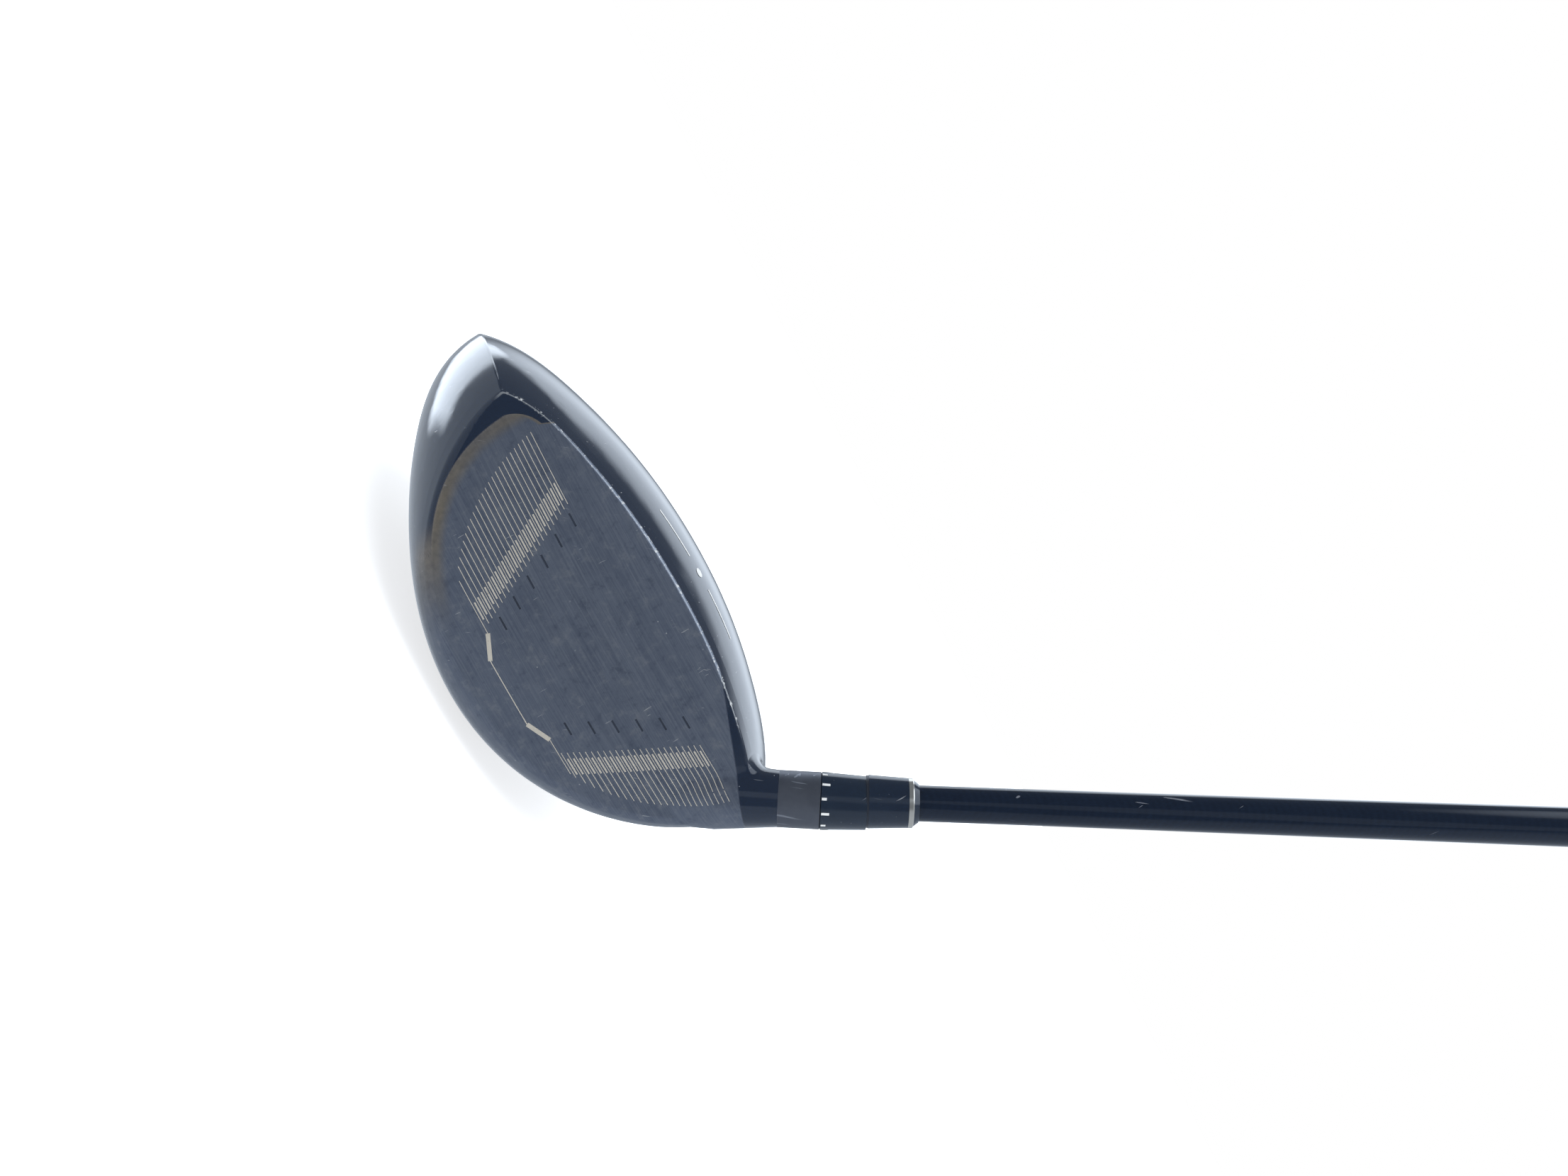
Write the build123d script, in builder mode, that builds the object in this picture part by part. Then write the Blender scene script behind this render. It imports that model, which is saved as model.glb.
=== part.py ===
from build123d import *
import math
import os

# Golf driver, right-handed, standing at address. Millimetres.
# +Z up from the ground, the face looks along -Y, the toe is on -X and the shaft leans to +X.
# Origin: the small flat on the sole that the head rests on.

# ---- head: face ----
LOFT = 10.5  # face loft, degrees
FACE_RADIUS = 300.0  # bulge and roll
FACE_FOOT_Y = -31.0  # where the face plane meets the ground
FACE_MID_X = 7.0
FACE_MID_Z = 33.0  # height of the face centre
FACE_THICK = 3.2
LOW_RIM_FILLET = 2.8  # toe, sole and heel edge of the face
TOP_RIM_FILLET = 1.0  # top line

# ---- head: outer form, one row per section from front to rear ----
# y, toe x, toe seam z, heel x, heel seam z, crown z, sole z
STATIONS = (
    (-38.0, -30.5, 46.5, 38.0, 47.0, 51.5, 22.0),
    (-31.0, -38.0, 46.8, 47.0, 48.0, 55.6, 13.0),
    (-24.0, -45.5, 47.0, 54.0, 49.0, 58.8, 4.6),
    (-16.0, -53.0, 46.8, 59.5, 49.0, 61.6, 0.9),
    (-4.0, -62.5, 45.6, 63.0, 49.0, 64.6, -0.3),
    (10.0, -70.2, 43.0, 64.0, 47.5, 64.8, -0.1),
    (27.0, -73.4, 38.8, 60.5, 44.0, 60.4, 2.0),
    (44.0, -64.0, 36.0, 53.0, 39.5, 52.4, 6.6),
    (59.0, -49.5, 33.0, 42.0, 35.0, 44.2, 12.0),
    (70.5, -32.0, 30.5, 27.0, 31.5, 37.0, 18.2),
    (76.5, -18.0, 29.3, 14.0, 29.8, 32.8, 22.8),
    (79.0, -7.0, 29.0, 4.0, 29.0, 30.4, 26.6),
)
ARC_ANGLES = (25, 50, 70, 90, 110, 130, 155)  # where a section's points lie, round its arc
CROWN_FULLNESS = 0.75
TOE_FULLNESS = 0.47  # lower arc, toe half
HEEL_FULLNESS = 0.56  # lower arc, heel half
WALL = 1.2  # crown and sole shell

# ---- hosel and adapter, measured along the hosel axis from the top of the collar ----
HOSEL_TOP = (65.3, -14.0, 65.4)
HOSEL_LIE = 59.5
SLEEVE_CANT = 1.0  # the sleeve's bore leans more upright than the hosel
COLLAR_LENGTH = 10.1
COLLAR_R = 6.75
NECK_PROFILE = ((-25.0, 8.0), (-40.0, 7.4), (-50.0, 6.0), (-57.0, 3.5))  # distance, radius
NECK_FILLET = 4.0
NECK_SIDE = -11.0  # the face plate stops at this side of the hosel axis
NECK_FOOT = -28.0  # and only above this
NECK_REACH = 20.0  # the neck's joint to the head lies within this of the neck's middle
NECK_ZONE = (51.0, 48.0)  # the zone left to the neck: across the hosel axis, along it
NECK_MIDDLE = -17.0
HOSEL_BORE_R = 5.26
HOSEL_BORE_END = -41.0
COLUMN_R = 7.4  # the cast column round the bore, inside the head
WEB_END = -47.0
SCREW_R = 2.5
SCREW_CLEARANCE_R = 2.8
SCREW_HEAD_R = 4.2
SCREW_POCKET_R = 4.9
SPLINES = 12
SPLINE_LENGTH = 4.2
SLEEVE_INSERT_R = 5.2
SLEEVE_END = -40.0
SLEEVE_THREAD_TOP = -34.0
SLEEVE_LENGTH = 10.8
SLEEVE_BASE_R = 6.8
SLEEVE_TOP_R = 6.3
SEAM_RING = 0.4
FERRULE_END = 21.8
FERRULE_END_R = 5.85
TRIM_RING = 1.2

# ---- shaft and grip, measured along the shaft axis from the same point ----
CLUB_LENGTH = 1162.0  # ground to the end of the grip cap, 45.75 in
SHAFT_TIP = -32.0
SHAFT_TIP_R = 4.25
SHAFT_PARALLEL = 90.0
SHAFT_BUTT_R = 7.6
SHAFT_WALL = 1.1
GRIP_LENGTH = 268.0
GRIP_MOUTH_R = 8.9
GRIP_BUTT_R = 13.4
CAP_R = 14.6
CAP_THICK = 5.0
TAPE_THICK = 0.25
VENT_R = 1.25

# ---- rear weight ----
WEIGHT_AT = (-3.0, 58.5, 11.6)
WEIGHT_TILT = 20.0
WEIGHT_PORT_R = 9.6
WEIGHT_POCKET_R = 7.6
WEIGHT_POCKET_DEPTH = 5.0
WEIGHT_HEAD_R = 7.2
WEIGHT_SCREW_R = 3.0
WEIGHT_SCREW_END = 10.8
GASKET_THICK = 0.6
WEIGHT_HEAD_THICK = 4.0
PORT_DEPTH = 13.0
FIT = 0.05  # radial clearance of a running fit
DRIVE_R = 2.3  # six-sided wrench socket, to its corners

# ---- small things ----
FAR = 120.0  # past the head on every side
RIB_THICK = 1.2
RIB_HEIGHT = 7.0
RIB_TOE_X = -31.0
RIB_HEEL_X = 21.0
MARK_X = 4.5
MARK_Y = -4.8
MARK_DOT_R = 1.2
MARK_BAR = 13.0
MARK_BAR_WIDTH = 0.5
MARK_BAR_OUT = 11.1  # from the dot to the middle of each bar
INK_THICK = 0.08
SPLINE_WIDTH = 1.2
TICK_LONG = 2.0
TICK_SHORT = 1.3
TICK_WIDTH = 0.6
TICK_TURN = 7.0  # the first mark, degrees round from the face side
WASHER_THICK = 1.0
SCREW_HEAD_THICK = 4.2
PLUG_LENGTH = 14.0
COUNTERWEIGHT_R = 5.9
COUNTERWEIGHT_BORE_R = 2.5
COUNTERWEIGHT_LENGTH = 12.0

os.makedirs("parts", exist_ok=True)

hosel_dir = Vector(math.cos(math.radians(HOSEL_LIE)), 0, math.sin(math.radians(HOSEL_LIE)))
hosel_top = Vector(*HOSEL_TOP)
hosel_plane = Plane(origin=HOSEL_TOP, x_dir=(0, -1, 0), z_dir=hosel_dir)
hosel_section = Plane(origin=HOSEL_TOP, x_dir=(hosel_dir.Z, 0, -hosel_dir.X), z_dir=(0, -1, 0))
hosel_axis = Axis(hosel_top, hosel_dir)
neck_middle = hosel_top + hosel_dir * NECK_MIDDLE

shaft_lie = HOSEL_LIE + SLEEVE_CANT
shaft_dir = Vector(math.cos(math.radians(shaft_lie)), 0, math.sin(math.radians(shaft_lie)))
CANT_PIVOT = -12.0  # where the two axes cross
shaft_zero = hosel_top + hosel_dir * CANT_PIVOT - shaft_dir * CANT_PIVOT
shaft_plane = Plane(origin=shaft_zero, x_dir=(0, -1, 0), z_dir=shaft_dir)
shaft_section = Plane(origin=shaft_zero, x_dir=(shaft_dir.Z, 0, -shaft_dir.X), z_dir=(0, -1, 0))
shaft_axis = Axis(shaft_zero, shaft_dir)
cap_end = CLUB_LENGTH - shaft_zero.Z / shaft_dir.Z
shaft_butt = cap_end - CAP_THICK

face_normal = Vector(0, -math.cos(math.radians(LOFT)), math.sin(math.radians(LOFT)))
face_mid = Vector(FACE_MID_X, FACE_FOOT_Y + FACE_MID_Z * math.tan(math.radians(LOFT)), FACE_MID_Z)
face_ball = face_mid - face_normal * FACE_RADIUS

weight_out = Vector(0, math.sin(math.radians(WEIGHT_TILT)), -math.cos(math.radians(WEIGHT_TILT)))
weight_plane = Plane(origin=WEIGHT_AT, x_dir=(1, 0, 0), z_dir=weight_out)


def head_section(station, inset):
    """One closed section of the head: the crown arc from toe to heel, then the sole arc back."""
    y, toe, toe_seam, heel, heel_seam, crown, sole = station
    middle = (toe + heel) / 2
    half = (heel - toe) / 2 - inset
    seam = (toe_seam + heel_seam) / 2
    tilt = (heel_seam - toe_seam) / 2
    steps = [-math.cos(math.radians(angle)) for angle in ARC_ANGLES]
    crown_rise = crown - seam - inset
    sole_drop = seam - sole - inset
    crown_arc = [
        (middle + half * s, seam + tilt * s + crown_rise * (1 - s * s) ** CROWN_FULLNESS) for s in steps
    ]
    sole_arc = []
    for s in steps:
        fullness = HEEL_FULLNESS if s < 0 else TOE_FULLNESS
        sole_arc.append((middle - half * s, seam - tilt * s - sole_drop * (1 - s * s) ** fullness))
    toe_point = (middle - half, seam - tilt)
    heel_point = (middle + half, seam + tilt)
    with BuildSketch(Plane.XZ.offset(-y)) as section:
        with BuildLine():
            Spline(toe_point, *crown_arc, heel_point)
            Spline(heel_point, *sole_arc, toe_point)
        make_face()
    return section.sketch


def seam_section(station):
    """Everything above the seam line of one section, well past the head on each side."""
    y, toe, toe_seam, heel, heel_seam, crown, sole = station
    slope = (heel_seam - toe_seam) / (heel - toe)
    with BuildSketch(Plane.XZ.offset(-y)) as section:
        with BuildLine():
            Polyline(
                (-FAR, toe_seam + slope * (-FAR - toe)),
                (FAR, toe_seam + slope * (FAR - toe)),
                (FAR, FAR),
                (-FAR, FAR),
                close=True,
            )
        make_face()
    return section.sketch


def on_face(edge):
    """True for an edge that lies on the ball of the face."""
    return all(abs((edge.position_at(t) - face_ball).length - FACE_RADIUS) < 0.02 for t in (0.1, 0.5, 0.9))


def turned(plane, *outline):
    """A closed half-profile, (radius, distance along the axis), to be revolved."""
    with BuildSketch(plane) as profile:
        with BuildLine():
            Polyline(*outline, close=True)
        make_face()
    return profile.sketch


def finish(piece, name):
    """Label a finished piece and write it."""
    piece.part.label = name
    export_step(piece.part, f"parts/{name}.step")


# ---- construction forms of the head: not pieces, only shapes that the pieces are cut from ----

with BuildPart() as head_form:
    loft([head_section(station, 0) for station in STATIONS])
    with Locations(face_ball):
        Sphere(FACE_RADIUS, mode=Mode.INTERSECT)
    for low_rim, radius in ((True, LOW_RIM_FILLET), (False, TOP_RIM_FILLET)):
        rim = [
            edge
            for edge in head_form.edges()
            if on_face(edge) and (edge.center().Z < FACE_MID_Z) == low_rim
        ]
        fillet(rim, radius)
    revolve(
        turned(
            hosel_section,
            (0, -COLLAR_LENGTH),
            (COLLAR_R, -COLLAR_LENGTH),
            *[(radius, distance) for distance, radius in NECK_PROFILE],
            (0, NECK_PROFILE[-1][0] - 3),
        ),
        axis=hosel_axis,
    )
    neck_joint = [
        edge
        for edge in head_form.edges()
        if edge.geom_type == GeomType.BSPLINE and (edge.center() - neck_middle).length < NECK_REACH
    ]
    fillet(neck_joint, NECK_FILLET)
    with Locations((0, 0, -50)):
        Box(400, 400, 100, mode=Mode.SUBTRACT)

with BuildPart() as cavity:
    loft([head_section(station, WALL) for station in STATIONS[:-1]])
    with Locations(face_ball):
        Sphere(FACE_RADIUS - FACE_THICK, mode=Mode.INTERSECT)
    revolve(
        turned(hosel_section, (0, -100), (COLUMN_R + 2, -100), (COLUMN_R, 20), (0, 20)),
        axis=hosel_axis,
        mode=Mode.SUBTRACT,
    )
    with Locations(weight_plane):
        Cylinder(WEIGHT_PORT_R, 36, mode=Mode.SUBTRACT)

# everything behind the face plate, and the neck beside it
with BuildPart() as body_zone:
    with Locations(face_ball):
        Sphere(FACE_RADIUS - FACE_THICK)
    with BuildSketch(hosel_section):
        with Locations((NECK_SIDE + NECK_ZONE[0] / 2, NECK_FOOT + NECK_ZONE[1] / 2)):
            Rectangle(*NECK_ZONE)
    extrude(amount=FAR, both=True)

with BuildPart() as crown_zone:
    loft([seam_section(station) for station in STATIONS])
    revolve(
        turned(hosel_section, (0, -70), (16, -70), (16, 20), (0, 20)),
        axis=hosel_axis,
        mode=Mode.SUBTRACT,
    )

print("head volume, cc:", round(head_form.part.volume / 1000, 1), head_form.part.bounding_box())

# ---- head: the pieces ----

with BuildPart() as face_plate:
    add(head_form.part)
    add(body_zone.part, mode=Mode.SUBTRACT)
    with BuildSketch(hosel_plane.offset(HOSEL_BORE_END)):
        Circle(HOSEL_BORE_R)
    extrude(amount=-HOSEL_BORE_END, mode=Mode.SUBTRACT)
finish(face_plate, "face_plate")

with BuildPart() as crown_shell:
    add(head_form.part)
    add(cavity.part, mode=Mode.SUBTRACT)
    add(body_zone.part, mode=Mode.INTERSECT)
    add(crown_zone.part, mode=Mode.INTERSECT)
finish(crown_shell, "crown_shell")

with BuildPart() as sole_body:
    add(head_form.part)
    add(cavity.part, mode=Mode.SUBTRACT)
    add(body_zone.part, mode=Mode.INTERSECT)
    add(crown_zone.part, mode=Mode.SUBTRACT)
    revolve(
        turned(
            hosel_section,
            (0, -110),
            (SCREW_POCKET_R, -110),
            (SCREW_POCKET_R, WEB_END),
            (SCREW_CLEARANCE_R, WEB_END),
            (SCREW_CLEARANCE_R, HOSEL_BORE_END),
            (HOSEL_BORE_R, HOSEL_BORE_END),
            (HOSEL_BORE_R, 10),
            (0, 10),
        ),
        axis=hosel_axis,
        mode=Mode.SUBTRACT,
    )
    with Locations(weight_plane):
        Cylinder(WEIGHT_PORT_R, 40, mode=Mode.SUBTRACT)
finish(sole_body, "sole_body")

with BuildPart() as sole_rib_toe:
    add(cavity.part)
    with Locations((RIB_TOE_X, 16, 0)):
        Box(RIB_THICK, 70, 120, mode=Mode.INTERSECT)
    add(cavity.part.moved(Location((0, 0, RIB_HEIGHT))), mode=Mode.SUBTRACT)
finish(sole_rib_toe, "sole_rib_toe")

with BuildPart() as sole_rib_heel:
    add(cavity.part)
    with Locations((RIB_HEEL_X, 16, 0)):
        Box(RIB_THICK, 60, 120, mode=Mode.INTERSECT)
    add(cavity.part.moved(Location((0, 0, RIB_HEIGHT))), mode=Mode.SUBTRACT)
finish(sole_rib_heel, "sole_rib_heel")

# a plain dot between two thin bars, printed on the crown just behind the top line
with BuildPart() as alignment_mark:
    with BuildSketch(Plane.XY.offset(FACE_MID_Z)):
        with Locations((MARK_X, MARK_Y)):
            Circle(MARK_DOT_R)
        with Locations((MARK_X - MARK_BAR_OUT, MARK_Y), (MARK_X + MARK_BAR_OUT, MARK_Y)):
            Rectangle(MARK_BAR, MARK_BAR_WIDTH)
    extrude(amount=FAR)
    add(head_form.part.moved(Location((0, 0, INK_THICK))), mode=Mode.INTERSECT)
    add(head_form.part, mode=Mode.SUBTRACT)
finish(alignment_mark, "alignment_mark")

# ---- rear weight: port, gasket and screw, in the weight's own plane (z out of the head) ----

with BuildPart() as weight_port:
    add(head_form.part)
    with Locations(weight_plane):
        Cylinder(WEIGHT_PORT_R, 2 * PORT_DEPTH, mode=Mode.INTERSECT)
    with BuildSketch(weight_plane):
        Circle(WEIGHT_POCKET_R)
    extrude(amount=-WEIGHT_POCKET_DEPTH, mode=Mode.SUBTRACT)
    with BuildSketch(weight_plane):
        Circle(WEIGHT_POCKET_R)
    extrude(amount=10, mode=Mode.SUBTRACT)
    with BuildSketch(weight_plane.offset(-WEIGHT_POCKET_DEPTH)):
        Circle(WEIGHT_SCREW_R + FIT)
    extrude(amount=-(WEIGHT_SCREW_END - WEIGHT_POCKET_DEPTH + 1.2), mode=Mode.SUBTRACT)
finish(weight_port, "weight_port")

gasket_plane = weight_plane.offset(-WEIGHT_POCKET_DEPTH)
with BuildPart() as weight_gasket:
    with BuildSketch(gasket_plane):
        Circle(WEIGHT_HEAD_R - 0.3)
        Circle(WEIGHT_SCREW_R + 0.4, mode=Mode.SUBTRACT)
    extrude(amount=GASKET_THICK)
finish(weight_gasket, "weight_gasket")

weight_seat = gasket_plane.offset(GASKET_THICK)
with BuildPart() as rear_weight:
    with BuildSketch(weight_seat):
        Circle(WEIGHT_HEAD_R)
    extrude(amount=WEIGHT_HEAD_THICK)
    weight_end = rear_weight.faces().filter_by(GeomType.PLANE).sort_by(Axis(WEIGHT_AT, weight_out))[-1]
    chamfer(weight_end.edges(), 0.5)
    with BuildSketch(weight_seat):
        Circle(WEIGHT_SCREW_R)
    extrude(amount=-(WEIGHT_SCREW_END - WEIGHT_POCKET_DEPTH + GASKET_THICK))
    with BuildSketch(weight_seat.offset(WEIGHT_HEAD_THICK)):
        RegularPolygon(DRIVE_R, 6)
    extrude(amount=-2.6, mode=Mode.SUBTRACT)
    with BuildSketch(weight_seat.offset(WEIGHT_HEAD_THICK)):
        with PolarLocations(WEIGHT_HEAD_R - 1.9, 3):
            Circle(0.8)
    extrude(amount=-0.5, mode=Mode.SUBTRACT)
finish(rear_weight, "rear_weight")

# ---- adjustable hosel ----

with BuildPart() as hosel_collar:
    revolve(
        turned(
            hosel_section,
            (HOSEL_BORE_R, -COLLAR_LENGTH),
            (COLLAR_R, -COLLAR_LENGTH),
            (COLLAR_R, -0.25),
            (COLLAR_R - 0.25, 0),
            (HOSEL_BORE_R, 0),
        ),
        axis=hosel_axis,
    )
    with BuildSketch(hosel_plane.offset(-SPLINE_LENGTH - 0.3)):
        with PolarLocations(HOSEL_BORE_R + 0.1, SPLINES):
            Rectangle(1.3, SPLINE_WIDTH + 2 * FIT)
    extrude(amount=SPLINE_LENGTH + 0.3, mode=Mode.SUBTRACT)
finish(hosel_collar, "hosel_collar")

with BuildPart() as adapter_sleeve:
    revolve(
        turned(
            hosel_section,
            (0, SLEEVE_END),
            (SLEEVE_INSERT_R, SLEEVE_END),
            (SLEEVE_INSERT_R, 0),
            (SLEEVE_BASE_R, 0),
            (SLEEVE_TOP_R, SLEEVE_LENGTH),
            (0, SLEEVE_LENGTH),
        ),
        axis=hosel_axis,
    )
    with BuildSketch(hosel_plane.offset(-SPLINE_LENGTH)):
        with PolarLocations(SLEEVE_INSERT_R, SPLINES):
            Rectangle(1.1, SPLINE_WIDTH)
    extrude(amount=SPLINE_LENGTH)
    revolve(
        turned(
            shaft_section,
            (0, SHAFT_TIP),
            (SHAFT_TIP_R, SHAFT_TIP),
            (SHAFT_TIP_R, 30),
            (0, 30),
        ),
        axis=shaft_axis,
        mode=Mode.SUBTRACT,
    )
    with BuildSketch(hosel_plane.offset(SLEEVE_END)):
        Circle(SCREW_R + FIT)
    extrude(amount=SLEEVE_THREAD_TOP - SLEEVE_END, mode=Mode.SUBTRACT)
finish(adapter_sleeve, "adapter_sleeve")

# painted marks round the foot of the sleeve, long and short in turn, one for each spline
with BuildPart() as index_ticks:
    revolve(
        turned(
            hosel_section,
            (SLEEVE_BASE_R, 0.15),
            (SLEEVE_BASE_R + INK_THICK, 0.15),
            (SLEEVE_BASE_R + INK_THICK - 0.1, TICK_LONG),
            (SLEEVE_BASE_R - 0.2, TICK_LONG),
        ),
        axis=hosel_axis,
    )
    add(adapter_sleeve.part, mode=Mode.SUBTRACT)
    with BuildSketch(hosel_plane):
        with PolarLocations(SLEEVE_BASE_R, SPLINES // 2, start_angle=TICK_TURN):
            Rectangle(3, TICK_WIDTH)
    extrude(amount=TICK_LONG, mode=Mode.INTERSECT)
finish(index_ticks, "index_ticks")

with BuildPart() as index_dots:
    revolve(
        turned(
            hosel_section,
            (SLEEVE_BASE_R, 0.15),
            (SLEEVE_BASE_R + INK_THICK, 0.15),
            (SLEEVE_BASE_R + INK_THICK - 0.06, TICK_SHORT),
            (SLEEVE_BASE_R - 0.2, TICK_SHORT),
        ),
        axis=hosel_axis,
    )
    add(adapter_sleeve.part, mode=Mode.SUBTRACT)
    with BuildSketch(hosel_plane):
        with PolarLocations(SLEEVE_BASE_R, SPLINES // 2, start_angle=TICK_TURN + 360 / SPLINES):
            Rectangle(3, TICK_WIDTH)
    extrude(amount=TICK_LONG, mode=Mode.INTERSECT)
finish(index_dots, "index_dots")

with BuildPart() as sleeve_spacer:
    revolve(
        turned(
            shaft_section,
            (SHAFT_TIP_R, SLEEVE_LENGTH - 0.2),
            (SLEEVE_TOP_R - 0.12, SLEEVE_LENGTH - 0.2),
            (SLEEVE_TOP_R - 0.12, SLEEVE_LENGTH + SEAM_RING),
            (SHAFT_TIP_R, SLEEVE_LENGTH + SEAM_RING),
        ),
        axis=shaft_axis,
    )
    add(adapter_sleeve.part, mode=Mode.SUBTRACT)
finish(sleeve_spacer, "sleeve_spacer")

with BuildPart() as ferrule:
    revolve(
        turned(
            shaft_section,
            (SHAFT_TIP_R, SLEEVE_LENGTH + SEAM_RING),
            (SLEEVE_TOP_R, SLEEVE_LENGTH + SEAM_RING),
            (FERRULE_END_R, FERRULE_END - TRIM_RING),
            (SHAFT_TIP_R, FERRULE_END - TRIM_RING),
        ),
        axis=shaft_axis,
    )
finish(ferrule, "ferrule")

with BuildPart() as ferrule_ring:
    revolve(
        turned(
            shaft_section,
            (SHAFT_TIP_R, FERRULE_END - TRIM_RING),
            (FERRULE_END_R + 0.05, FERRULE_END - TRIM_RING),
            (FERRULE_END_R + 0.05, FERRULE_END - 0.25),
            (FERRULE_END_R - 0.2, FERRULE_END),
            (SHAFT_TIP_R, FERRULE_END),
        ),
        axis=shaft_axis,
    )
finish(ferrule_ring, "ferrule_ring")

with BuildPart() as ferrule_tip:
    revolve(
        turned(
            shaft_section,
            (SHAFT_TIP_R, FERRULE_END),
            (FERRULE_END_R - 0.3, FERRULE_END),
            (SHAFT_TIP_R + 0.3, FERRULE_END + 1.3),
            (SHAFT_TIP_R, FERRULE_END + 1.3),
        ),
        axis=shaft_axis,
    )
finish(ferrule_tip, "ferrule_tip")

with BuildPart() as screw_washer:
    with BuildSketch(hosel_plane.offset(WEB_END - WASHER_THICK)):
        Circle(SCREW_HEAD_R + 0.2)
        Circle(SCREW_R + FIT, mode=Mode.SUBTRACT)
    extrude(amount=WASHER_THICK)
finish(screw_washer, "screw_washer")

with BuildPart() as hosel_screw:
    with BuildSketch(hosel_plane.offset(WEB_END - WASHER_THICK - SCREW_HEAD_THICK)):
        Circle(SCREW_HEAD_R)
    extrude(amount=SCREW_HEAD_THICK)
    with BuildSketch(hosel_plane.offset(WEB_END - WASHER_THICK)):
        Circle(SCREW_R)
    extrude(amount=SLEEVE_THREAD_TOP - 0.4 - WEB_END + WASHER_THICK)
    with BuildSketch(hosel_plane.offset(WEB_END - WASHER_THICK - SCREW_HEAD_THICK)):
        RegularPolygon(DRIVE_R, 6)
    extrude(amount=2.6, mode=Mode.SUBTRACT)
finish(hosel_screw, "hosel_screw")

# ---- shaft and grip ----


taper_start = SHAFT_TIP + SHAFT_PARALLEL


def shaft_r(distance):
    """Outer radius of the shaft at a distance along it: parallel tip, then an even taper."""
    along = max(0.0, (distance - taper_start) / (shaft_butt - taper_start))
    return SHAFT_TIP_R + (SHAFT_BUTT_R - SHAFT_TIP_R) * along


with BuildPart() as shaft:
    revolve(
        turned(
            shaft_section,
            (SHAFT_TIP_R - SHAFT_WALL - 1.2, SHAFT_TIP),
            (SHAFT_TIP_R, SHAFT_TIP),
            (SHAFT_TIP_R, taper_start),
            (SHAFT_BUTT_R, shaft_butt),
            (SHAFT_BUTT_R - SHAFT_WALL, shaft_butt),
            (SHAFT_TIP_R - SHAFT_WALL - 1.2, taper_start),
        ),
        axis=shaft_axis,
    )
finish(shaft, "shaft")

with BuildPart() as tip_plug:
    with BuildSketch(shaft_plane.offset(SHAFT_TIP)):
        Circle(SHAFT_TIP_R - SHAFT_WALL - 1.2)
    extrude(amount=PLUG_LENGTH)
finish(tip_plug, "tip_plug")

grip_mouth = cap_end - GRIP_LENGTH
with BuildPart() as grip_tape:
    revolve(
        turned(
            shaft_section,
            (shaft_r(grip_mouth), grip_mouth + 1),
            (shaft_r(grip_mouth) + TAPE_THICK, grip_mouth + 1),
            (SHAFT_BUTT_R + TAPE_THICK, shaft_butt),
            (SHAFT_BUTT_R, shaft_butt),
        ),
        axis=shaft_axis,
    )
    add(shaft.part, mode=Mode.SUBTRACT)
finish(grip_tape, "grip_tape")

with BuildPart() as grip:
    with BuildSketch(shaft_section):
        with BuildLine():
            Polyline(
                (GRIP_MOUTH_R - 0.6, grip_mouth),
                (shaft_r(grip_mouth), grip_mouth),
                (SHAFT_BUTT_R, shaft_butt),
                (GRIP_BUTT_R, shaft_butt),
            )
            Spline(
                (GRIP_BUTT_R, shaft_butt),
                (GRIP_BUTT_R - 1.0, shaft_butt - 45),
                (GRIP_MOUTH_R + 1.9, grip_mouth + 130),
                (GRIP_MOUTH_R, grip_mouth + 1.2),
            )
            Line((GRIP_MOUTH_R, grip_mouth + 1.2), (GRIP_MOUTH_R - 0.6, grip_mouth))
        make_face()
    revolve(axis=shaft_axis)
    add(shaft.part, mode=Mode.SUBTRACT)
    add(grip_tape.part, mode=Mode.SUBTRACT)
finish(grip, "grip")

with BuildPart() as grip_cap:
    with BuildSketch(shaft_plane.offset(shaft_butt)):
        Circle(CAP_R)
    extrude(amount=CAP_THICK)
    fillet(grip_cap.faces().sort_by(shaft_axis)[-1].edges(), 3.0)
    fillet(grip_cap.faces().sort_by(shaft_axis)[0].edges(), 1.0)
    with BuildSketch(shaft_plane.offset(shaft_butt)):
        Circle(VENT_R)
    extrude(amount=CAP_THICK, mode=Mode.SUBTRACT)
finish(grip_cap, "grip_cap")

with BuildPart() as butt_counterweight:
    with BuildSketch(shaft_plane.offset(shaft_butt - COUNTERWEIGHT_LENGTH)):
        Circle(COUNTERWEIGHT_R)
        Circle(COUNTERWEIGHT_BORE_R, mode=Mode.SUBTRACT)
    extrude(amount=COUNTERWEIGHT_LENGTH)
finish(butt_counterweight, "butt_counterweight")

print("shaft axis passes", shaft_zero, "direction", shaft_dir, "cap end at", round(cap_end, 2))
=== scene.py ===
import math

import bpy
from mathutils import Matrix, Vector
from mathutils.bvhtree import BVHTree


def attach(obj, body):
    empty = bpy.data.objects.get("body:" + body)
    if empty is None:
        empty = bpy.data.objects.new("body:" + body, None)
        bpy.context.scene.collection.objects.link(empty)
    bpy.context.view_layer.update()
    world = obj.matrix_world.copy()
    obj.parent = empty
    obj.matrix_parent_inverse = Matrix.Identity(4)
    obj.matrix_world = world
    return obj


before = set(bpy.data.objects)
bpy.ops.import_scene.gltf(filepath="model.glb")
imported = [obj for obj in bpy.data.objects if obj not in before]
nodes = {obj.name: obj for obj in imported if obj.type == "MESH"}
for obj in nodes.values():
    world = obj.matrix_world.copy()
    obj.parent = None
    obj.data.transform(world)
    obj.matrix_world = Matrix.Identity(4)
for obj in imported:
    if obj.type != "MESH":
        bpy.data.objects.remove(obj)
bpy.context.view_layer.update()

# Golf driver on a pale studio floor. Row frame in metres: +Z up, the face looks along -Y,
# the toe is on -X and the shaft leans to +X. Lengths below are in millimetres unless named otherwise.

MM = 0.001

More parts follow.
